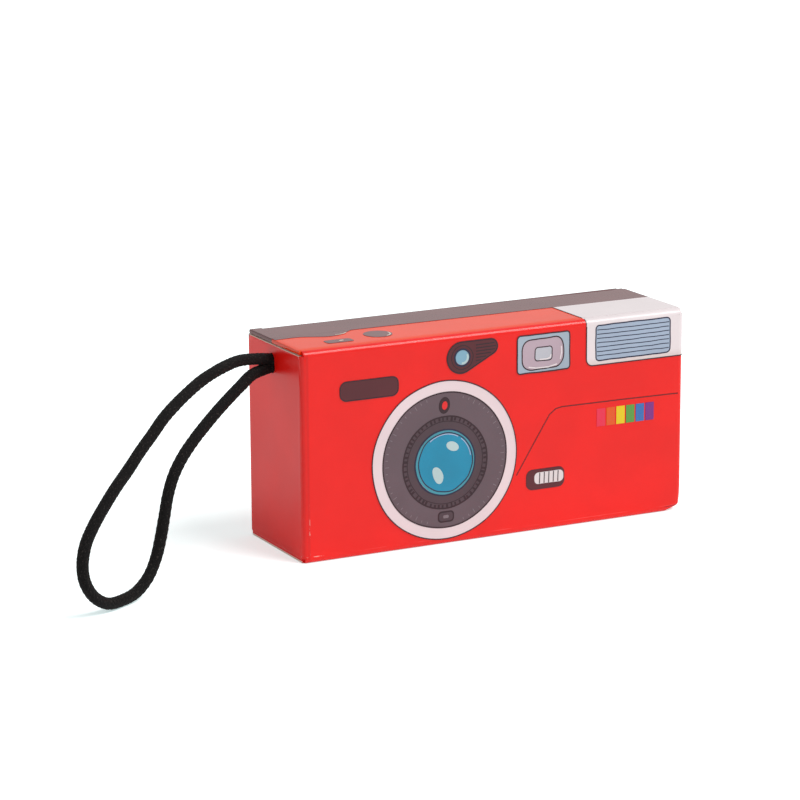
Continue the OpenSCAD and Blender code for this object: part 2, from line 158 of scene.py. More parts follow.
class Shader:
    """A Principled material built from nodes on the object's own coordinates."""

    def __init__(self, name):
        self.mat = bpy.data.materials.new(name)
        self.mat.use_nodes = True
        self.nodes = self.mat.node_tree.nodes
        self.nodes.clear()
        self.bsdf = self.add("ShaderNodeBsdfPrincipled")
        out = self.add("ShaderNodeOutputMaterial")
        self.link(self.bsdf.outputs[0], out.inputs[0])
        self.coords = self.add("ShaderNodeTexCoord").outputs["Object"]

    def add(self, kind, **props):
        node = self.nodes.new(kind)
        for key, value in props.items():
            setattr(node, key, value)
        return node

    def link(self, a, b):
        self.mat.node_tree.links.new(a, b)

    def put(self, value, socket):
        if isinstance(value, bpy.types.NodeSocket):
            self.link(value, socket)
        else:
            socket.default_value = value

    def math(self, op, a, b=0.0, c=0.0):
        node = self.add("ShaderNodeMath", operation=op)
        for value, socket in zip((a, b, c), node.inputs):
            self.put(value, socket)
        return node.outputs[0]

    def noise(self, per_mm, detail=2.0, stretch=(1, 1, 1)):
        scale = self.add("ShaderNodeVectorMath", operation="MULTIPLY")
        self.link(self.coords, scale.inputs[0])
        scale.inputs[1].default_value = [s / MM * per_mm for s in stretch]
        node = self.add("ShaderNodeTexNoise")
        self.link(scale.outputs[0], node.inputs["Vector"])
        node.inputs["Scale"].default_value = 1.0
        node.inputs["Detail"].default_value = detail
        return node.outputs["Fac"]

    def axes(self):
        """The three coordinates in millimetres."""
        parts = self.add("ShaderNodeSeparateXYZ")
        self.link(self.coords, parts.inputs[0])
        return [self.math("MULTIPLY", parts.outputs[i], 1 / MM) for i in range(3)]

    def step(self, value, low, high):
        """0 below low, 1 above high, smooth between; low may be the larger."""
        node = self.add("ShaderNodeMapRange", interpolation_type="SMOOTHSTEP")
        flip = low > high
        self.put(value, node.inputs[0])
        node.inputs[1].default_value = min(low, high)
        node.inputs[2].default_value = max(low, high)
        node.inputs[3].default_value = 1.0 if flip else 0.0
        node.inputs[4].default_value = 0.0 if flip else 1.0
        return node.outputs[0]

    def off(self, value, at):
        """How far value is from at."""
        return self.math("ABSOLUTE", self.math("SUBTRACT", value, at))

    def share(self, mask, amount):
        return self.math("MULTIPLY", mask, amount)

    def both(self, *masks):
        result = masks[0]
        for mask in masks[1:]:
            result = self.share(result, mask)
        return result

    def mix(self, mask, a, b):
        node = self.add("ShaderNodeMix", data_type="RGBA")
        self.put(mask, node.inputs[0])
        for value, socket in ((a, node.inputs[6]), (b, node.inputs[7])):
            self.put(value if isinstance(value, bpy.types.NodeSocket) else (*value, 1), socket)
        return node.outputs[2]

    def bump(self, layers, coat=False):
        """Layers are (height, distance in millimetres); with coat they turn the coat too."""
        normal = None
        for height, distance in layers:
            node = self.add("ShaderNodeBump")
            node.inputs["Distance"].default_value = distance * MM
            self.link(height, node.inputs["Height"])
            if normal is not None:
                self.link(normal, node.inputs["Normal"])
            normal = node.outputs[0]
        self.link(normal, self.bsdf.inputs["Normal"])
        if coat:
            self.link(normal, self.bsdf.inputs["Coat Normal"])

    def set(self, **values):
        for key, value in values.items():
            self.put(value, self.bsdf.inputs[SOCKETS[key]])


def shade(rgb, factor):
    return tuple(min(1.0, c * factor) for c in rgb)


def grain(sh, rgb, depth=0.05):
    """Colour with slow mottling and the fine grain of print on board."""
    slow = sh.step(sh.noise(0.06, 3), 0.3, 0.7)
    fine = sh.step(sh.noise(2.2, 1), 0.25, 0.75)
    colour = sh.mix(slow, shade(rgb, 1 - depth), shade(rgb, 1 + depth / 2))
    return sh.mix(sh.share(fine, depth * 2), colour, shade(rgb, 0.82))


def laminate(sh, colour, wave=0.05, coat=0.74, coat_rough=0.22):
    """Finish of the printed side: ink under a clear gloss film that is not quite flat."""
    smudge = sh.noise(0.05, 3)
    sh.set(colour=colour, rough=sh.math("MULTIPLY_ADD", smudge, 0.2, 0.32), specular=0.0)
    sh.set(coat=coat, coat_rough=coat_rough, coat_ior=1.5)
    sh.bump([(sh.noise(0.05, 1), wave), (sh.noise(0.8, 2), 0.006)], coat=True)
    return sh.mat


def ink(name, rgb, depth=0.05):
    sh = Shader(name)
    return laminate(sh, grain(sh, rgb, depth))


def crack(sh, value, at, half, per_mm, low, high):
    """A broken thin line where value is near at."""
    near = sh.step(sh.off(value, at), half, half * 0.3)
    return sh.both(near, sh.step(sh.noise(per_mm, 3), low, high))


def front_board():
    """Red of the front, with the flash housing's white on the top crease, wear on the folds, a
    painted highlight along the bottom crease, and painted shade along the left upright fold.
    """
    sh = Shader("red_front")
    x, _, z = sh.axes()
    left = sh.math("MULTIPLY", x, -1.0)
    crease = sh.step(z, FOLD_Z - 0.35, FOLD_Z - 0.3)
    housing = sh.step(x, FLASH_LEFT - 0.02, FLASH_LEFT + 0.02)
    colour = sh.mix(sh.both(housing, crease), grain(sh, RED), grain(sh, WHITE))
    outline = sh.step(sh.off(x, FLASH_LEFT), 0.17, 0.13)
    colour = sh.mix(sh.both(outline, crease), colour, LINE_INK)
    # Painted shade: a soft darker band of red along the left upright fold
    fold = sh.step(sh.off(left, FLAT_W - 0.1), 0.6, 0.1)
    colour = sh.mix(sh.share(fold, 0.4), colour, shade(RED, 0.6))
    upright = crack(sh, left, FLAT_W - 0.35, 0.2, 0.5, 0.5, 0.58)
    colour = sh.mix(sh.share(sh.both(upright, sh.step(z, 18.0, 5.0)), WEAR), colour, RAW)
    low = crack(sh, z, FOLD_R + 0.3, 0.18, 0.5, 0.46, 0.56)
    near_fold = sh.step(left, FLAT_W - 5.0, FLAT_W - 2.5)
    colour = sh.mix(sh.share(sh.both(low, near_fold), WEAR), colour, RAW)
    # Painted highlight: a broken paler red line along the bottom crease
    colour = sh.mix(crack(sh, z, FOLD_R + 0.25, 0.14, 0.1, 0.42, 0.66), colour, PAINTED_CREASE_HIGHLIGHT)
    split = sh.both(crack(sh, z, 1.55, 0.28, 0.7, 0.4, 0.5), sh.step(x, 54.0, 57.0))
    colour = sh.mix(sh.share(split, 0.8), colour, SPLIT_RED)
    return laminate(sh, colour)


def side_board():
    sh = Shader("red_side")
    return laminate(sh, grain(sh, RED), wave=0.1, coat=0.7, coat_rough=0.32)


def back_board():
    """Plain red, with the lid's dark band turned over at the top and broken painted shade along the
    folds.
    """
    sh = Shader("red_back")
    x, _, z = sh.axes()
    colour = sh.mix(sh.step(z, TOP - 2.6, TOP - 2.5), grain(sh, RED), grain(sh, PLUM))
    # Painted shade: broken darker lines along the upright folds
    folds = crack(sh, sh.math("ABSOLUTE", x), FLAT_W + 0.05, 0.22, 0.5, 0.5, 0.6)
    return laminate(sh, sh.mix(sh.share(folds, 0.45), colour, shade(RED, 0.4)), wave=0.08)


def lid_board():
    """Red, the flash housing's white on the right, and the dark band along the rear."""
    sh = Shader("lid_print")
    x, y, _ = sh.axes()
    housing = sh.step(x, FLASH_LEFT - 0.02, FLASH_LEFT + 0.02)
    colour = sh.mix(housing, grain(sh, LID_RED), grain(sh, WHITE))
    colour = sh.mix(sh.step(y, BAND_Y - 0.1, BAND_Y - 0.05), colour, grain(sh, BAND))
    return laminate(sh, colour, coat=0.68)


def base_board():
    """Underside, with the raw edge of the board along its sides."""
    sh = Shader("red_base")
    x, _, z = sh.axes()
    side = sh.step(sh.math("ABSOLUTE", x), LID_W - 0.16, LID_W - 0.12)
    rim = sh.both(side, sh.step(z, 0.6, 0.52))
    return laminate(sh, sh.mix(rim, grain(sh, RED), RAW_RIM), wave=0.1)


def raw_board(name, rgb, per_mm):
    """Bare board with fibres and specks."""
    sh = Shader(name)
    fibre = sh.noise(per_mm, 4, stretch=(0.3, 1, 1))
    speck = sh.step(sh.noise(0.9, 3), 0.6, 0.72)
    colour = sh.mix(sh.step(fibre, 0.3, 0.7), shade(rgb, 0.9), shade(rgb, 1.05))
    sh.set(colour=sh.mix(sh.share(speck, 0.35), colour, shade(rgb, 0.7)), specular=0.2)
    sh.set(rough=sh.math("MULTIPLY_ADD", fibre, 0.2, 0.75))
    sh.bump([(fibre, 0.03)])
    return sh.mat


def bars_ink():
    """One colour after another across the row of bars."""
    sh = Shader("colour_bars")
    along = sh.math("DIVIDE", sh.math("SUBTRACT", sh.axes()[0], BARS_LEFT), BARS_W)
    ramp = sh.add("ShaderNodeValToRGB")
    ramp.color_ramp.interpolation = "CONSTANT"
    stops = ramp.color_ramp.elements
    for i, rgb in enumerate(BAR_COLOURS):
        at = i / len(BAR_COLOURS)
        stop = stops[i] if i < 2 else stops.new(at)
        stop.position = at
        stop.color = (*rgb, 1)
    sh.link(along, ramp.inputs[0])
    fine = sh.step(sh.noise(2.2, 1), 0.25, 0.75)
    return laminate(sh, sh.mix(sh.share(fine, 0.1), ramp.outputs[0], BAR_SHADE))


def housing_ink():
    """White of the flash housing, shaded along its lower edge."""
    sh = Shader("ink_housing")
    z = sh.axes()[2]
    low = sh.share(sh.step(z, FLASH_LOW + 2.4, FLASH_LOW + 0.2), 0.4)
    return laminate(sh, sh.mix(low, grain(sh, WHITE, 0.03), HOUSING_SHADE))


def cord_fabric():
    """Black braid with fibres, paler stretches and lint."""
    sh = Shader("cord_black")
    fibre = sh.noise(3.5, 3)
    lint = sh.step(sh.noise(2.2, 3), 0.6, 0.68)
    slow = sh.step(sh.noise(0.12, 2), 0.3, 0.7)
    colour = sh.mix(sh.step(fibre, 0.35, 0.7), CORD_BLACK, CORD_FIBRE)
    colour = sh.mix(sh.share(slow, 0.4), colour, CORD_WORN)
    sh.set(colour=sh.mix(sh.share(lint, 0.5), colour, LINT), specular=0.1)
    sh.set(rough=sh.math("MULTIPLY_ADD", fibre, 0.2, 0.68), sheen=0.03, sheen_rough=0.5)
    sh.bump([(fibre, 0.12)])
    return sh.mat


FRONT, SIDE, BACK, LID, BASE = front_board(), side_board(), back_board(), lid_board(), base_board()
INSIDE = raw_board("board_inside", CREAM, 1.1)
CUT = raw_board("board_edge", RAW, 2.5)
DARK = ink("ink_dark", PLUM, 0.1)
BAND_INK = ink("ink_band", BAND, 0.1)
LINES = ink("ink_line", LINE_INK)
NAVY = ink("ink_navy", (0.02, 0.018, 0.05))
HOUSING = housing_ink()
PALE = ink("ink_white", WHITE, 0.03)
RING = ink("ink_ring", (0.83, 0.68, 0.7), 0.04)
GREY = ink("ink_barrel", (0.135, 0.088, 0.104), 0.08)
BEZEL = ink("ink_bezel", (0.08, 0.046, 0.057), 0.1)
BLUE = ink("ink_glass", (0.013, 0.27, 0.44), 0.12)
TEAL = ink("ink_teal", (0.06, 0.3, 0.38), 0.1)
SHINE = ink("ink_shine", (0.5, 0.64, 0.64), 0.05)
SKY = ink("ink_pale_blue", (0.38, 0.46, 0.54), 0.06)
WINDOW = ink("ink_window", (0.38, 0.465, 0.59), 0.06)
MAUVE = ink("ink_mauve", (0.5, 0.38, 0.44), 0.06)
PANE = ink("ink_pane", (0.52, 0.52, 0.57), 0.06)
EYE_BLUE = ink("ink_eye", (0.24, 0.45, 0.58), 0.08)
SIGNAL = ink("ink_red_mark", (0.8, 0.02, 0.02))
LILAC = ink("ink_lilac", (0.42, 0.5, 0.68), 0.05)
GLINT = ink("ink_glint", (0.72, 0.6, 0.5), 0.05)
WORN = ink("ink_worn_white", (0.76, 0.7, 0.7), 0.06)
SCALE = ink("ink_scale", (0.22, 0.165, 0.185))
TRIM = ink("ink_trim", (0.13, 0.008, 0.01))
BARS = bars_ink()
CORD = cord_fabric()


# Meshes
def as_object(name, bm, mats, sharp=40):
    """A mesh in millimetres becomes an object in metres with smooth faces and sharp corners."""
    bmesh.ops.scale(bm, vec=(MM, MM, MM), verts=bm.verts)
    mesh = bpy.data.meshes.new(name)
    bm.to_mesh(mesh)
    bm.free()
    for mat in mats:
        mesh.materials.append(mat)
    mesh.shade_smooth()
    mesh.set_sharp_from_angle(angle=math.radians(sharp))
    obj = bpy.data.objects.new(name, mesh)
    bpy.context.scene.collection.objects.link(obj)
    return obj


def span(low, high, step):
    count = max(1, round((high - low) / step))
    return [low + (high - low) * i / count for i in range(count + 1)]


def board(name, node, grids, mats, body="case", cut=None, soft=0.2, cut_mat=2):
    """Closes a skin into a board. Grids are (us, vs, place), where place(u, v) gives a point and its
    normal. cut(point) says which border edges are soft; they take the material cut_mat."""
    points, normals, index, quads = [], [], {}, []
    for us, vs, place in grids:
        rows = []
        for v in vs:
            row = []
            for u in us:
                point, normal = (Vector(a) for a in place(u, v))
                key = tuple(round(c, 2) for c in point)
                if key not in index:
                    index[key] = len(points)
                    points.append(point)
                    normals.append(normal)
                row.append(index[key])
            rows.append(row)
        for low, high in zip(rows, rows[1:]):
            for i in range(len(us) - 1):
                quads.append((low[i], low[i + 1], high[i + 1], high[i]))
    return close_board(name, node, points, normals, quads, mats, body, cut, soft, cut_mat)


def ease(t):
    t = min(1.0, max(0.0, t))
    return t * t * (3 - 2 * t)


def crushed(p):
    """The point with the dent of the carton's lower right front corner."""
    to_side, to_floor, to_front = (p.x - 56.8) / 4.2, 1 - p.z / 7, (-p.y - 11.5) / 6
    return p + DENT * (ease(to_side) * ease(to_floor) * ease(to_front))


def close_board(name, node, points, normals, quads, mats, body, cut, soft, cut_mat):
    """Both skins of a board, from the points, normals and quads of the outer one, and its border."""
    bm = bmesh.new()
    outer = [bm.verts.new(crushed(p)) for p in points]
    inner = [bm.verts.new(crushed(p - n.normalized() * BOARD)) for p, n in zip(points, normals)]
    edges = {}
    for quad in quads:
        a, b, c, d = (points[i] for i in quad)
        if (c - a).cross(d - b).dot(normals[quad[0]]) < 0:
            quad = quad[::-1]
        bm.faces.new([outer[i] for i in quad]).material_index = 0
        bm.faces.new([inner[i] for i in reversed(quad)]).material_index = 1
        for a, b in zip(quad, quad[1:] + quad[:1]):
            edges[(a, b)] = (b, a)
    soft_edges = []
    for (a, b), back in edges.items():
        if back in edges:
            continue
        bm.faces.new((outer[b], outer[a], inner[a], inner[b])).material_index = 2
        middle = (points[a] + points[b]) / 2
        if cut is None or cut(middle):
            soft_edges.append(bm.edges.get((outer[a], outer[b])))
            soft_edges.append(bm.edges.get((inner[a], inner[b])))
    bmesh.ops.bevel(bm, geom=soft_edges, offset=soft, offset_type="OFFSET", segments=2, profile=0.5,
                    affect="EDGES", clamp_overlap=True, loop_slide=True, material=cut_mat)
    obj = as_object(name, bm, mats)
    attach(obj, body)
    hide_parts(node)
    return obj


def recolour(obj, index, choose):
    """Gives the faces that choose picks the material at index."""
    for face in obj.data.polygons:
        if choose(face):
            face.material_index = index


def arc(count, turn=math.pi / 2):
    return [turn * i / count for i in range(count + 1)]


FOLD_STEPS = 9
FOLD_L = FOLD_R * math.pi / 2
FLAT_XS = span(-FLAT_W, FLAT_W, 3.3)
FOLD_US = [FLAT_W + FOLD_R * a for a in arc(FOLD_STEPS)[1:]]
WALL_US = [-u for u in reversed(FOLD_US)] + FLAT_XS + FOLD_US


def turned(place, up):
    """The closure's surface at the lid, or upside down at the bottom."""
    if up:
        return place

    def down(u, v):
        (x, y, z), (a, b, c) = place(u, v)
        return (x, y, TOP - z), (a, b, -c)
    return down


def wall_at(facing):
    """Front or back wall with its two upright folds: u runs across, v is the height."""
    def place(u, z):
        side = math.copysign(1, u)
        a = max(0.0, abs(u) - FLAT_W) / FOLD_R
        x = u if a == 0 else side * (FLAT_W + FOLD_R * math.sin(a))
        normal = (side * math.sin(a), facing * math.cos(a), 0)
        return (x, facing * (FOLD_Y + FOLD_R * math.cos(a)), z), normal
    return place


def crease_at(up):
    """Fold from the front to the lid or the bottom: v is the turn."""
    def place(x, a):
        point = (x, -FOLD_Y - FOLD_R * math.cos(a), FOLD_Z + FOLD_R * math.sin(a))
        return point, (0, -math.cos(a), math.sin(a))
    return turned(place, up)


def front_panel():
    """The front with its upright folds, and the creases to the lid and the bottom."""
    crease_xs = [-CREASE_W] + FLAT_XS + [CREASE_W]
    free = FLAT_W + FOLD_R * math.radians(30) - 1e-6
    left = [u for u in WALL_US if u <= -free]
    right = [u for u in WALL_US if u >= free]
    front = wall_at(-1)
    grids = [(WALL_US, span(FOLD_R, FOLD_Z, 3), front)]
    grids += [(crease_xs, arc(FOLD_STEPS), crease_at(up)) for up in (True, False)]
    ends = ((FOLD_Z, WALL_HIGH), (WALL_LOW, FOLD_R))
    grids += [(us, zs, front) for us in (left, right) for zs in ends]

    def slit(p):
        return abs(p.z - TOP / 2) > FOLD_Z - TOP / 2 - NEAR and abs(p.y + FOLD_Y) > 0.05

    def hinge(face):
        x, _, z = face.center / MM
        return face.normal.y > 0.9 and z > FOLD_Z and abs(x) < FLAT_W
    mats = (FRONT, INSIDE, FRONT)
    obj = board("front_panel_board", "front_panel", grids, mats, cut=slit, soft=0.12, cut_mat=0)
    recolour(obj, 1, hinge)


def back_panel():
    """The back with its upright folds; its top edge rises a little to the right."""
    back = wall_at(1)

    def rim(x, v):
        high = BACK_TOP + BACK_RISE * (x + FLAT_W) / (2 * FLAT_W)
        return back(x, WALL_HIGH + (high - WALL_HIGH) * v)

    def outer(p):
        return p.y > FOLD_Y + 0.05

    def inner_rim(face):
        return face.center.z > FOLD_Z * MM and face.normal.y < 0.5
    grids = [(WALL_US, span(WALL_LOW, WALL_HIGH, 3), back), (FLAT_XS, (0, 0.5, 1), rim)]
    grids.append((FLAT_XS, (0, WALL_LOW / 2, WALL_LOW), back))
    mats = (BACK, INSIDE, BACK, BAND_INK)
    obj = board("back_panel_board", "back_panel", grids, mats, cut=outer, cut_mat=0)
    recolour(obj, 3, inner_rim)


def dish(y, z):
    """How far a side wall bows in, in millimetres."""
    window = (1 - (y / FOLD_Y) ** 2) * math.sin(math.pi * (z - WALL_LOW) / (WALL_HIGH - WALL_LOW))
    return window * (0.16 + 0.05 * math.sin(0.16 * z + 0.25 * y))


def side_at(side):
    """Left or right wall: y runs back, z is the height."""
    def place(y, z):
        return (side * (HALF_W - dish(y, z)), y, z), (side, 0, 0)
    return place


def wall_ends(p):
    """Whether a point is on the top or bottom edge of a side wall."""
    return abs(p.z - TOP / 2) > 28


def slot_edge(direction):
    """Point of the cord's slot in a given direction from its middle."""
    r = CORD_D / 2 + 0.1
    half = HOLE_HALF
    a, b = direction
    if abs(b) * r <= abs(a) * half:
        return Vector((math.copysign(r, a), math.copysign(r, a) * b / a))
    end = math.copysign(half, b)
    dot = b * end
    root = math.sqrt(dot * dot - (a * a + b * b) * (half * half - r * r))
    return Vector((a, b)) * ((dot + root) / (a * a + b * b))


def low_edge(face):
    """Edge of a side wall anywhere but along its top, where the board is raw."""
    return face.material_index == 2 and face.center.z < (WALL_HIGH - 0.8) * MM


def left_panel():
    """The left side, with the cord's hole in a finer part of its grid."""
    place = side_at(-1)
    y0, y1, z0, z1 = BEND.y - 4, BEND.y + 4, BEND.z - 4.6, WALL_HIGH
    ys = span(-FOLD_Y, y0, 2.5) + span(y0, y1, 0.8)[1:] + span(y1, FOLD_Y, 2.5)[1:]
    zs = span(SIDE_LOW, z0, 3) + span(z0, z1, 0.8)[1:]
    points, normals, index, quads = [], [], {}, []

    def add(y, z):
        key = (round(y, 3), round(z, 3))
        if key not in index:
            index[key] = len(points)
            point, normal = place(y, z)
            points.append(Vector(point))
            normals.append(Vector(normal))
        return index[key]

    top = zs[-2]
    for ya, yb in zip(ys, ys[1:]):
        for za, zb in zip(zs, zs[1:]):
            around = y0 - NEAR < ya and yb < y1 + NEAR and z0 - NEAR < za and zb < top + NEAR
            if not around:
                quads.append((add(ya, za), add(yb, za), add(yb, zb), add(ya, zb)))
    inside_y = [y for y in ys if y0 - NEAR < y < y1 + NEAR]
    inside_z = [z for z in zs if z0 - NEAR < z < top + NEAR]
    border = [(y, inside_z[0]) for y in inside_y]
    border += [(inside_y[-1], z) for z in inside_z[1:]]
    border += [(y, inside_z[-1]) for y in inside_y[-2::-1]]
    border += [(inside_y[0], z) for z in inside_z[-2:0:-1]]
    middle = Vector((BEND.y, BEND.z))
    hole = [middle + slot_edge(Vector(p) - middle) for p in border]
    rings = 3
    for k in range(rings):
        for i in range(len(border)):
            j = (i + 1) % len(border)
            corners = [(i, k), (j, k), (j, k + 1), (i, k + 1)]
            quads.append(tuple(add(*Vector(border[n]).lerp(hole[n], m / rings)) for n, m in corners))

    def cut(p):
        return wall_ends(p) or math.hypot(p.y - BEND.y, p.z - BEND.z) < 5
    mats = (SIDE, INSIDE, CUT)
    skin = (points, normals, quads)
    obj = close_board("left_panel_board", "left_panel", *skin, mats, "case", cut, 0.15, 2)
    recolour(obj, 0, low_edge)


def right_panel():
    grids = [(span(-FOLD_Y, FOLD_Y, 2.5), span(SIDE_LOW, WALL_HIGH, 3), side_at(1))]
    mats = (SIDE, INSIDE, CUT)
    obj = board("right_panel_board", "right_panel", grids, mats, cut=wall_ends, soft=0.22)
    recolour(obj, 0, low_edge)


def glue_flap():
    """Flap of the back, glued behind the right side."""
    def place(u, v):
        inset = GLUE_INSET + GLUE_W / 2 * u
        return (HALF_W - BOARD, GLUE_Y - GLUE_W * u, inset + (TOP - 2 * inset) * v), (1, 0, 0)
    grids = [(span(0, 1, 0.2), span(0, 1, 0.06), place)]
    mats = (INSIDE, INSIDE, CUT)
    board("glue_flap_board", "glue_flap", grids, mats, cut=lambda p: p.y < GLUE_Y - 0.1)


def closure_panel(name, node, up, mats, body, soft):
    """Lid or bottom flap: the flat, its two ears beside the tuck flap, and the fold to that."""
    inner = span(-TUCK_W, TUCK_W, 3)
    ears = span(TUCK_W, LID_W, 1.9)
    left_ears = [-x for x in reversed(ears)]
    rear = span(LID_FOLD_Y, EAR_Y, 0.8)

    def level(x, y):
        return (x, y, TOP), (0, 0, 1)

    def fold(x, a):
        normal = (0, math.sin(a), math.cos(a))
        return (x, LID_FOLD_Y + FOLD_R * normal[1], FOLD_Z + FOLD_R * normal[2]), normal

    def outer(p):
        return abs(p.z - TOP / 2) > FOLD_Z - TOP / 2
    flat = turned(level, up)
    across = left_ears + inner[1:-1] + ears
    grids = [(across, span(LID_FRONT, LID_FOLD_Y, 3), flat)]
    grids += [(ears, rear, flat), (left_ears, rear, flat)]
    grids.append((inner, arc(FOLD_STEPS + 1, math.pi / 2 + TUCK_LEAN), turned(fold, up)))
    board(name, node, grids, mats, body, cut=outer, soft=soft, cut_mat=0)


def tuck_flap(name, node, up, mats, body):
    """Leaning flap with two rounded corners behind the back."""
    straight = TUCK_L - TUCK_R

    def place(u, along):
        past = max(0.0, along - straight)
        x = u * (TUCK_W - TUCK_R + math.sqrt(TUCK_R ** 2 - past ** 2))
        y = LID_FOLD_Y + FOLD_R * math.cos(TUCK_LEAN) - along * math.sin(TUCK_LEAN)
        z = FOLD_Z - FOLD_R * math.sin(TUCK_LEAN) - along * math.cos(TUCK_LEAN)
        return (x, y, z), (0, math.cos(TUCK_LEAN), -math.sin(TUCK_LEAN))
    surface = turned(place, up)
    steps = span(0, straight, 2.5) + [straight + TUCK_R * math.sin(a) for a in arc(6)[1:]]
    root = surface(0, 0)[0][2]
    grids = [(span(-1, 1, 0.05), steps, surface)]
    board(name, node, grids, mats, body, cut=lambda p: abs(p.z - root) > 0.05, soft=0.1)


def dust_flap(name, node, side, up, body):
    """Tapered flap of a side wall, under the lid or over the bottom."""
    def place(u, v):
        front = DUST_FRONT + DUST_DRAW * u
        rear = DUST_REAR - DUST_DRAW * u
        return (side * (DUST_ROOT - DUST_L * u), front + (rear - front) * v, WALL_HIGH), (0, 0, 1)
    grids = [(span(0, 1, 0.125), span(0, 1, 0.1), turned(place, up))]
    board(name, node, grids, (SIDE, INSIDE, CUT), body)


front_panel()
back_panel()
left_panel()
right_panel()
glue_flap()
closure_panel("lid_panel_board", "lid_panel", True, (LID, INSIDE, LID), "lid", 0.3)
tuck_flap("lid_tuck_board", "lid_tuck_flap", True, (LID, INSIDE, CUT), "lid")
closure_panel("bottom_flap_board", "bottom_flap", False, (BASE, INSIDE, BASE), "case", 0.14)
tuck_flap("bottom_tuck_board", "bottom_tuck_flap", False, (SIDE, INSIDE, CUT), "case")
for side, word in ((-1, "left"), (1, "right")):
    dust_flap(f"lid_dust_board_{word}", f"lid_dust_flap_{word}", side, True, f"{word}_dust_flap")
    dust_flap(f"bottom_dust_board_{word}", f"bottom_dust_flap_{word}", side, False, "case")


# Outlines of the print, in millimetres
def circle(at, r, count, wobble=0.0, seed=0.0):
    """Circle, uneven like a line drawn by hand where wobble is given."""
    result = []
    for i in range(count):
        a = 2 * math.pi * i / count
        d = r + wobble * noise.noise((2.2 * math.cos(a), 2.2 * math.sin(a), seed))
        result.append((at[0] + d * math.cos(a), at[1] + d * math.sin(a)))
    return result


def oval(at, a, b, turn, count=40):
    c, s = math.cos(math.radians(turn)), math.sin(math.radians(turn))
    unit = circle((0, 0), 1, count)
    return [(at[0] + a * x * c - b * y * s, at[1] + a * x * s + b * y * c) for x, y in unit]


def box(at, w, h, r, count=7):
    """Rectangle with rounded corners."""
    result = []
    for quarter, (sx, sy) in enumerate(((1, 1), (-1, 1), (-1, -1), (1, -1))):
        x, y = at[0] + sx * (w / 2 - r), at[1] + sy * (h / 2 - r)
        for i in range(count + 1):
            a = math.pi / 2 * (quarter + i / count)
            result.append((x + r * math.cos(a), y + r * math.sin(a)))
    return result


def sector(at, inner, outer, low, high, count):
    """Piece of a ring between two angles in degrees."""
    angles = [math.radians(low + (high - low) * i / count) for i in range(count + 1)]
    around = [(outer, a) for a in angles] + [(inner, a) for a in reversed(angles)]
    return [(at[0] + r * math.cos(a), at[1] + r * math.sin(a)) for r, a in around]


def stroke(points, w):
    """Outline of a line of width w along the points."""
    pts = [Vector(p) for p in points]
    left, right = [], []
    for i, p in enumerate(pts):
        a = (p - pts[i - 1]).normalized() if i else (pts[1] - p).normalized()
        b = (pts[i + 1] - p).normalized() if i + 1 < len(pts) else a
        n = Vector((-(a + b).y, (a + b).x)).normalized()
        n *= w / 2 / max(0.5, n.dot(Vector((-a.y, a.x))))
        left.append(p + n)
        right.append(p - n)
    return [tuple(p) for p in left + right[::-1]]


def ring(outline, w):
    """An outline that runs anticlockwise, and the same drawn in by w."""
    inner = []
    for i, (x, y) in enumerate(outline):
        (x0, y0), (x1, y1) = outline[i - 1], outline[(i + 1) % len(outline)]
        scale = w / math.hypot(x1 - x0, y1 - y0)
        inner.append((x - (y1 - y0) * scale, y + (x1 - x0) * scale))
    return [outline, inner]


def drawn(outline, amount, seed, step=0.4):
    """The outline with more points and the slight unevenness of a line drawn by hand."""
    result = []
    for (x0, y0), (x1, y1) in zip(outline, outline[1:] + outline[:1]):
        count = max(1, round(math.hypot(x1 - x0, y1 - y0) / step))
        for i in range(count):
            x, y = x0 + (x1 - x0) * i / count, y0 + (y1 - y0) * i / count
            shift = noise.noise_vector((0.25 * x, 0.25 * y, seed))
            result.append((x + amount * shift.x, y + amount * shift.y))
    return result


def drop(grow):
    """Outline of the sensor window, as in the part's source, and wider by grow."""
    wide = (SENSOR[0] - DROP_W / 2 + DROP_WIDE_R, SENSOR[1])
    tip = (SENSOR[0] + DROP_W / 2 - DROP_TIP_R, SENSOR[1] + DROP_WIDE_R - DROP_TIP_R)
    low = 2 * math.atan2(tip[1] - wide[1], tip[0] - wide[0]) - math.pi / 2
    bows = ((wide, DROP_WIDE_R, math.pi / 2, low + 2 * math.pi),
            (tip, DROP_TIP_R, low, math.pi / 2))
    steps = 24
    result = []
    for (x, y), r, start, end in bows:
        for i in range(steps + 1):
            a = start + (end - start) * i / steps
            result.append((x + (r + grow) * math.cos(a), y + (r + grow) * math.sin(a)))
    return result


def on_wrap(a, b, h):
    """From the front round the right fold to the right side: a runs across, b is the height."""
    if a <= FLAT_W:
        return (a, -HALF_D - h, b)
    turn = (a - FLAT_W) / FOLD_R
    if turn <= math.pi / 2:
        r = FOLD_R + h
        return (FLAT_W + r * math.sin(turn), -FOLD_Y - r * math.cos(turn), b)
    return (HALF_W + h, -FOLD_Y + a - FLAT_W - FOLD_L, b)


def on_lid(a, b, h):
    return (a, b, TOP + h)


def area(loop):
    return sum(a[0] * b[1] - b[0] * a[1] for a, b in zip(loop, loop[1:] + loop[:1])) / 2


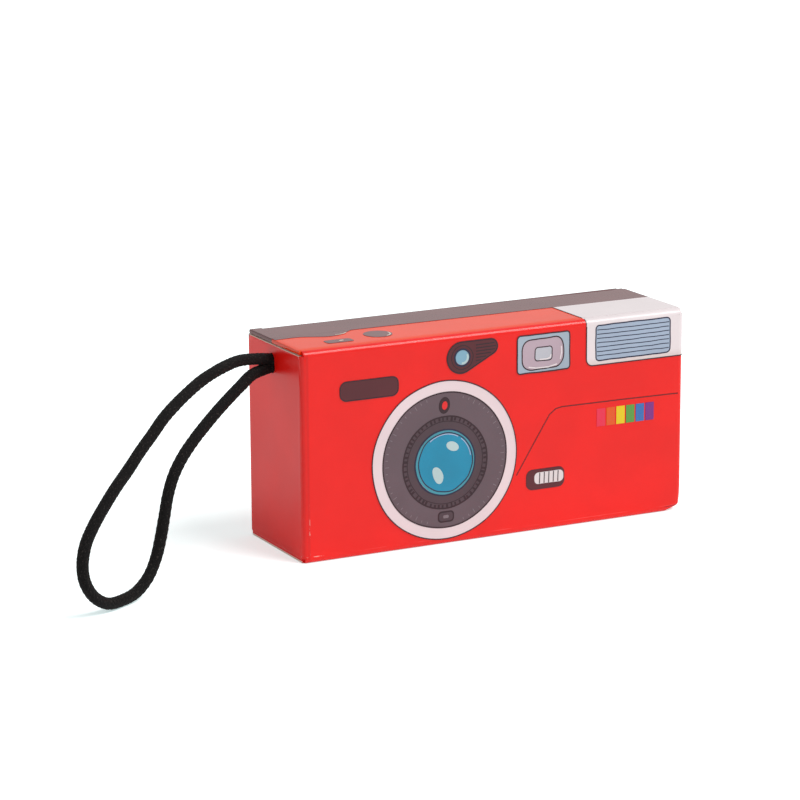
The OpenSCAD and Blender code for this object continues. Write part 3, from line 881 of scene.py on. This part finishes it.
def print_film(name, layers, mats, body="case", on=on_wrap, low=INK, node=None):
    """Closed films of print: layers are (loops, height above low, thickness, material)."""
    bm = bmesh.new()
    for loops, lift, thick, mat in layers:
        loops = [
            loop if (area(loop) > 0) == (i == 0) else loop[::-1] for i, loop in enumerate(loops)
        ]
        flat = [p for loop in loops for p in loop]
        under = [bm.verts.new(on(x, y, low + lift)) for x, y in flat]
        over = [bm.verts.new(on(x, y, low + lift + thick)) for x, y in flat]
        faces = []
        for tri in tessellate_polygon([[Vector((x, y, 0)) for x, y in loop] for loop in loops]):
            tri = tri if area([flat[i] for i in tri]) > 0 else tri[::-1]
            faces.append(bm.faces.new([over[i] for i in tri]))
            faces.append(bm.faces.new([under[i] for i in reversed(tri)]))
        start = 0
        for loop in loops:
            count = len(loop)
            for i in range(count):
                a, b = start + i, start + (i + 1) % count
                faces.append(bm.faces.new((under[a], under[b], over[b], over[a])))
            start += count
        for face in faces:
            face.material_index = mat
    obj = as_object(name, bm, mats, 30)
    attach(obj, body)
    if node:
        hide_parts(node)


def lens_print():
    """Lines round the lens and the knurl of its bezel."""
    # Middle, radius, width and seed of each line
    rings = (
        (LENS, 22.95, 0.3, 1), (LENS, 19.7, 0.38, 2),
        (GLASS, 13.5, 0.42, 3), (GLASS, 12.0, 0.2, 4),
    )
    lift = 0.01
    lines = [(ring(circle(at, r, 128, 0.16, seed), w), lift, LINE, 0) for at, r, w, seed in rings]
    lines.append((ring(circle(GLASS, 9.68, 96, 0.14, 5), 0.42), lift, LINE, 1))
    print_film("lens_lines", lines, (LINES, NAVY))
    teeth = 58
    knurl = []
    for i in range(teeth):
        turn = 360 / teeth * (i + 0.5 * noise.noise((1.7 * i, 0.4, 0.2)))
        half = 1.25 + 0.5 * noise.noise((2.3 * i, 1.4, 0.7))
        inner = 12.15 + 0.25 * noise.noise((1.1 * i, 2.4, 3.7))
        knurl.append(([sector(GLASS, inner, 13.1, turn - half, turn + half, 2)], 0, LINE, 0))
    print_film("lens_knurl", knurl, (LINES,))


def glass_print():
    """Rim and shine of the lens's glass."""
    rim_at, line_at, shine_at = (
        (GLASS[0] + dx, GLASS[1] + dy) for dx, dy in ((0.05, 0), (0.15, 0.05), (0.15, 0.2))
    )
    rim = [(ring(circle(rim_at, 9.3, 96, 0.1, 6), 0.9), 0, FILM, 0)]
    rim.append((ring(circle(line_at, 8.65, 96, 0.25, 7), 0.32), FILM, FILM, 1))
    print_film("glass_rim", rim, (TEAL, NAVY))
    shine = [([drawn(oval((-14.7, 28.35), 2.05, 1.2, -28), 0.35, 31)], 0, MARK, 0)]
    shine.append(([drawn(oval((-19.3, 20.2), 1.5, 2.65, 20), 0.4, 32)], 0, MARK, 0))
    shine.append(([sector(shine_at, 7.85, 8.1, 60, 128, 16)], 0, MARK, 1))
    shine.append(([sector(shine_at, 7.85, 8.05, 8, 52, 16)], 0, MARK, 1))
    print_film("glass_shine", shine, (SHINE, LILAC))


def barrel_print():
    """Scale of plain ticks, the red mark above it and the small window below it."""
    ticks = []
    for i in range(60):
        turn = 6 * i
        if abs(turn % 180 - 90) < 18:
            continue
        inner = 17.6 if i % 5 == 0 else 18.1
        ticks.append(([sector(LENS, inner, 18.8, turn - 0.35, turn + 0.35, 1)], 0, MARK, 0))
    print_film("lens_scale", ticks, (SCALE,))
    mark = [([oval((-17.2, 40.3), 1.75, 2.4, -8)], 0, MARK, 1)]
    mark.append(([oval((-17.1, 40.25), 0.85, 1.2, -8)], MARK, MARK, 0))
    print_film("lens_index_mark", mark, (SIGNAL, LINES))
    window = [([box(LENS_WINDOW, 5.2, 3.3, 1.2)], 0, FILM, 0)]
    window.append(([box(LENS_WINDOW, 4.3, 2.4, 0.9)], FILM, FILM, 1))
    window.append(([box(LENS_WINDOW, 1.7, 0.9, 0.3)], 2 * FILM, FILM, 2))
    print_film("lens_window", window, (LINES, BEZEL, SCALE))


def flash_print():
    """Outline of the flash housing round the right fold, and the lines of its window."""
    side_end = FLAT_W + FOLD_L + 18.0
    bends, apart = 8, 0.005
    fold = [FLAT_W + FOLD_L * i / bends for i in range(bends + 1)]
    r = 2.0
    corner = [(FLASH_LEFT + r - r * math.cos(a), FLASH_LOW + r - r * math.sin(a)) for a in arc(6)]
    front = [(FLASH_LEFT, FOLD_Z - 0.3)] + corner + [(FLAT_W, FLASH_LOW)]
    side = [(fold[-1], FLASH_LOW), (side_end, FLASH_LOW), (side_end, WALL_HIGH - 0.2)]
    edges = [front, side]
    edges += [[(a + apart, FLASH_LOW), (b - apart, FLASH_LOW)] for a, b in zip(fold, fold[1:])]
    layers = [([stroke(edge, 0.3)], 0, LINE, 0) for edge in edges]
    layers.append((ring(drawn(box(FLASH_WINDOW, 25.1, 10.6, 1.3), 0.14, 3), 0.36), 0, LINE, 1))
    rows, points = 8, 25
    for i in range(1, rows):
        z = FLASH_WINDOW[1] - 5 + 10 * i / rows
        sway = [0.14 * noise.noise((0.25 * k, 3.1 * i, 0)) for k in range(points)]
        wave = [(FLASH_WINDOW[0] - 12 + k, z + sway[k]) for k in range(points)]
        layers.append(([stroke(wave, 0.24)], 0, LINE * 0.6, 1))
    print_film("flash_lines", layers, (LINES, NAVY))


def finder_print():
    """Field, pane, lines and shine of the viewfinder, in three heights."""
    opening = drawn(box((FINDER[0] - 0.2, FINDER[1] - 0.2), 13.8, 9.2, 3.3), 0.35, 4)
    pane = drawn(box((FINDER[0] - 0.05, FINDER[1] - 0.3), 5.9, 4.2, 1.1), 0.15, 6)
    second, third = FILM + GAP, 2 * (FILM + GAP)
    layers = [
        ([box(FINDER, 16.6, 10.6, 0.8), opening], 0, FILM, 1),
        ([ring(opening, 0.15)[1]], 0, FILM, 2),
        ([pane], second, FILM, 3),
        (ring(drawn(box(FINDER, 17.3, 11.3, 1.2), 0.12, 5), 0.36), second, LINE, 0),
        (ring(opening, 0.34), second, LINE, 0),
        (ring(pane, 0.3), third, FILM, 0),
    ]
    shines = (
        [(9.6, 48.3), (12, 47.8), (16, 47.75), (18.8, 48.3)],
        [(19.9, 49.6), (20.3, 51.5), (20.2, 53.4)],
        [(13.2, 50.15), (15.4, 50.1), (16.6, 50.4), (16.9, 51.3)],
    )
    layers += [([stroke(line, 0.34)], third + GAP / 2, FILM, 4) for line in shines]
    print_film("finder_lines", layers, (LINES, SKY, MAUVE, PANE, PALE))


def sensor_print():
    """Outline, eye and louvres of the sensor window."""
    layers = [(ring(drop(0.15), 0.4), 0, LINE, 0)]
    layers.append((ring(circle(EYE, 2.65, 64, 0.1, 9), 0.5), 0, LINE, 1))
    layers.append((ring(circle(EYE, 3.5, 64, 0.12, 10), 0.22), 0, LINE, 0))
    # Height and right end of each louvre
    louvres = ((52.0, -5.7), (52.9, -4.1), (53.8, -2.4), (54.7, -1.1), (55.6, -0.9), (56.5, -1.3))
    layers += [([stroke([(-7.2, z), (end, z + 0.1)], 0.3)], 0, MARK, 0) for z, end in louvres]
    layers.append(([sector((EYE[0] + 0.1, EYE[1]), 1.35, 1.95, -100, 30, 12)], 0, FILM, 2))
    print_film("sensor_lines", layers, (LINES, NAVY, SHINE))


def small_prints():
    """Trim line, slide switch and the label's outline."""
    trim = [(59.3, 35.25), (39.8, 35.5), (20.6, 35.6), (18.6, 35.25), (16.6, 33.8), (11.2, 25.5),
            (5.9, 17.2)]
    layers = [([stroke(trim, 0.3)], 0, INK * 0.5, 0)]
    print_film("trim_line", layers, (TRIM,), low=0.0, node="trim_line_print")
    block = (SWITCH[0] + 1.15, SWITCH[1] + 0.3)
    layers = [([box(SWITCH, 12.0, 5.5, 1.8)], 0, FILM, 0)]
    layers.append(([drawn(box(block, 9.4, 3.4, 1.3), 0.12, 21)], FILM, FILM, 1))
    for i in range(5):
        x = block[0] - 3.1 + 1.5 * i
        rib = [(x, block[1] - 1.6), (x + 0.12, block[1] + 1.6)]
        layers.append(([stroke(rib, 0.3)], 2 * FILM, FILM, 2))
    print_film("switch_ribs", layers, (DARK, WORN, LINES))
    label = box(LABEL, 18.2, 5.7, 2.1)
    print_film("label_line", [(ring(label, 0.3), 0, LINE, 0)], (LINES,))


def lid_print():
    """Hump of the lid's dark band, the flash housing's edge, and glints."""
    hump = [
        (-60.6, 1.65), (-60.6, -0.5), (-58.7, -0.35), (-54.9, -0.1), (-53, -0.3), (-51.6, -0.75),
        (-50, -1.5), (-48.6, -2.15), (-46.8, -3), (-45, -3.3), (-43, -3.1), (-41.3, -2.4),
        (-39.6, -1.1), (-38, 0.2), (-36.8, 1.2), (-36, 1.65),
    ]
    print_film("lid_hump", [([hump], 0, INK, 0)], (BAND_INK,), "lid", on_lid, 0.0)
    edge = [(FLASH_LEFT, -15.5), (FLASH_LEFT, BAND_Y - 0.1)]
    print_film("lid_lines", [([stroke(edge, 0.24)], 0, LINE, 0)], (LINES,), "lid", on_lid)
    glints = [([sector(BUTTON, 3.3, 3.7, -70, 10, 14)], 0, LINE, 0)]
    glints.append(([oval((KEY[0] + 0.8, KEY[1] + 0.1), 0.8, 0.4, 15)], 0, LINE, 0))
    glints.append(([sector((HUMP[0] + 1.5, HUMP[1]), 3.6, 4.0, 255, 320, 10)], 0, LINE, 0))
    print_film("lid_glints", glints, (GLINT,), "lid", on_lid)


lens_print()
glass_print()
barrel_print()
flash_print()
finder_print()
sensor_print()
small_prints()
lid_print()

PRINT_FINISH = {
    "lens_ring_print": RING, "lens_barrel_print": GREY, "lens_bezel_print": BEZEL,
    "lens_glass_print": BLUE, "flash_housing_print": HOUSING, "flash_window_print": WINDOW,
    "finder_frame_print": SKY, "finder_window_print": MAUVE, "sensor_window_print": DARK,
    "sensor_eye_print": EYE_BLUE, "label_print": DARK, "switch_print": DARK,
    "colour_bar_print": BARS, "lid_flash_print": PALE, "lid_band_print": BAND_INK,
    "lid_button_print": BAND_INK, "lid_key_print": BAND_INK,
}
for node, mat in PRINT_FINISH.items():
    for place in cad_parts[node].material_slots:
        place.material = mat


# Cord
def smooth_path(points, step):
    """Points at even steps along a curve through the given ones, and its length."""
    fine, parts = [], 24
    for i in range(len(points) - 1):
        a, b, c, d = (points[min(max(i + k, 0), len(points) - 1)] for k in (-1, 0, 1, 2))
        for k in range(parts):
            t = k / parts
            fine.append(0.5 * (2 * b + (c - a) * t + (2 * a - 5 * b + 4 * c - d) * t * t
                               + (3 * b - a - 3 * c + d) * t ** 3))
    fine.append(points[-1])
    lengths = [0.0]
    for a, b in zip(fine, fine[1:]):
        lengths.append(lengths[-1] + (b - a).length)
    count = round(lengths[-1] / step)
    result, k = [], 0
    for i in range(count + 1):
        s = lengths[-1] * i / count
        while k < len(fine) - 2 and lengths[k + 1] < s:
            k += 1
        part = (s - lengths[k]) / (lengths[k + 1] - lengths[k])
        result.append(fine[k].lerp(fine[k + 1], part))
    return result, lengths[-1]


def braid(a, s):
    """Height of a braided sheath, 0 to 1, whose strands pass over and under each other."""
    p = BRAID_STRANDS * a / (2 * math.pi)
    q = s / BRAID_PITCH
    u, v = p + q, p - q
    over = math.floor(u) + math.floor(v)
    high, low = (u, v) if over % 2 else (v, u)
    crown = math.sin(math.pi * (high % 1))
    return crown * (0.72 + 0.28 * math.sin(math.pi * (low % 1)))


def cord_tube(name, path, length, radius, sides, relief, ends):
    """A braided tube along the path; ends rounds its two ends."""
    bm = bmesh.new()
    last = len(path) - 1
    step = length / last
    tangents = [
        (path[min(i + 1, last)] - path[max(i - 1, 0)]).normalized() for i in range(last + 1)
    ]
    normal = tangents[0].orthogonal().normalized()
    rings = []
    for i, (p, t) in enumerate(zip(path, tangents)):
        normal = (normal - t * normal.dot(t)).normalized()
        side = t.cross(normal)
        s = i * step
        swell = 1 + 0.035 * noise.noise((s * 0.14, 0.3, 5.0))
        fade = 1.0
        if ends:
            d = min(i, last - i) * step
            fade = math.sqrt(max(0.02, 1 - max(0.0, 1 - d / radius) ** 2))
        row = []
        for k in range(sides):
            a = 2 * math.pi * k / sides
            fuzz = 0.03 * noise.noise((2.2 * s, 6 * math.cos(a), 6 * math.sin(a)))
            height = 1.3 * relief * braid(a, s) - 0.7 * relief
            r = radius * fade * (swell + fuzz + height)
            row.append(bm.verts.new(p + (normal * math.cos(a) + side * math.sin(a)) * r))
        rings.append(row)
    for low, high in zip(rings, rings[1:]):
        for k in range(sides):
            j = (k + 1) % sides
            bm.faces.new((low[k], low[j], high[j], high[k]))
    bm.faces.new(rings[0][::-1])
    bm.faces.new(rings[-1])
    return as_object(name, bm, (CORD,), 180)


def knot_route():
    """Turns of the knot and its tail."""
    points, steps = [], 60
    for i in range(steps + 1):
        a = 2 * math.pi * KNOT_TURNS * i / steps
        x = KNOT_X + KNOT_L * i / steps
        points.append(Vector((x, BEND.y + KNOT_R * math.cos(a), BEND.z + KNOT_R * math.sin(a))))
    points.append(Vector((-51.2, BEND.y + 1.2, BEND.z + 0.4)))
    points.append(Vector((-48.6, BEND.y + 0.8, BEND.z + 0.6)))
    return points


def strap():
    """The loop, both of whose strands go into the hole, and the knot behind the wall."""
    out = [BEND + Vector((-s * math.cos(TURN), -s * math.sin(TURN), z - BEND.z)) for s, z in ROUTE]
    # Across, and above or below the bend, from inside the wall to outside it
    spread = ((-59.75, 1.0), (-61.0, 1.05), (-62.5, 1.35))
    high, low = ([Vector((x, BEND.y, BEND.z + sign * dz)) for x, dz in spread] for sign in (1, -1))
    path, length = smooth_path(high + out + low[::-1], 0.3)
    cord = cord_tube("strap_cord", path, length, CORD_D / 2, 40, 0.07, False)
    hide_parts("strap_loop", "strap_root")
    wraps, wraps_length = smooth_path(knot_route(), 0.35)
    knot = cord_tube("strap_knot_wraps", wraps, wraps_length, 1.36, 28, 0.1, True)
    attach(knot, "case")
    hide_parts("strap_knot")
    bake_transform(cord)


strap()


# Stage, light and camera
def white_for(tree, direct, mirrored, plain):
    """Strength for rays from the camera, for mirrored or transmitted rays, and for the rest."""
    path = tree.nodes.new("ShaderNodeLightPath")
    mirror = tree.nodes.new("ShaderNodeMath")
    mirror.operation = "MAXIMUM"
    tree.links.new(path.outputs["Is Glossy Ray"], mirror.inputs[0])
    tree.links.new(path.outputs["Is Transmission Ray"], mirror.inputs[1])
    level = plain
    for seen, strength in ((mirror.outputs[0], mirrored), (path.outputs["Is Camera Ray"], direct)):
        share = tree.nodes.new("ShaderNodeMix")
        tree.links.new(seen, share.inputs[0])
        if isinstance(level, float):
            share.inputs[2].default_value = level
        else:
            tree.links.new(level, share.inputs[2])
        share.inputs[3].default_value = strength
        level = share.outputs[0]
    return level


def lay_floor():
    """White floor that keeps the object's shadow."""
    bpy.ops.mesh.primitive_plane_add(size=FLOOR_SIZE)
    floor = bpy.context.object
    floor.name = "floor"
    mat = bpy.data.materials.new("floor_white")
    mat.use_nodes = True
    tree = mat.node_tree
    tree.nodes.clear()
    diffuse = tree.nodes.new("ShaderNodeBsdfDiffuse")
    diffuse.inputs[0].default_value = FLOOR_COLOUR
    glow = tree.nodes.new("ShaderNodeEmission")
    glow.inputs[0].default_value = GLOW_COLOUR
    tree.links.new(white_for(tree, FLOOR_GLOW, FLOOR_SHEEN, 0.0), glow.inputs[1])
    total = tree.nodes.new("ShaderNodeAddShader")
    out = tree.nodes.new("ShaderNodeOutputMaterial")
    tree.links.new(diffuse.outputs[0], total.inputs[0])
    tree.links.new(glow.outputs[0], total.inputs[1])
    tree.links.new(total.outputs[0], out.inputs[0])
    floor.data.materials.append(mat)


def light():
    """A soft key lamp and a white world."""
    world = bpy.data.worlds.new("studio")
    bpy.context.scene.world = world
    world.use_nodes = True
    back = world.node_tree.nodes["Background"]
    back.inputs[0].default_value = (1, 1, 1, 1)
    world.node_tree.links.new(white_for(world.node_tree, 1.0, BACKDROP, AMBIENT), back.inputs[1])
    lamp = bpy.data.lights.new("key", "SUN")
    lamp.energy = KEY_LEVEL * math.pi
    lamp.angle = math.radians(KEY_ANGLE)
    key = bpy.data.objects.new("key", lamp)
    key.rotation_euler = Vector(KEY_FROM).to_track_quat("Z", "Y").to_euler()
    bpy.context.scene.collection.objects.link(key)


def set_camera():
    """Camera at the photo's angle."""
    view = bpy.data.cameras.new("camera")
    view.lens = CAMERA_LENS
    view.sensor_width = CAMERA_SENSOR
    view.clip_end = CAMERA_REACH
    camera = bpy.data.objects.new("camera", view)
    camera.location = Vector(CAMERA_AT) * MM
    camera.rotation_euler = Euler([math.radians(a) for a in CAMERA_TURN])
    bpy.context.scene.collection.objects.link(camera)
    bpy.context.scene.camera = camera
    bpy.context.scene.view_settings.view_transform = "Standard"


lay_floor()
light()
set_camera()
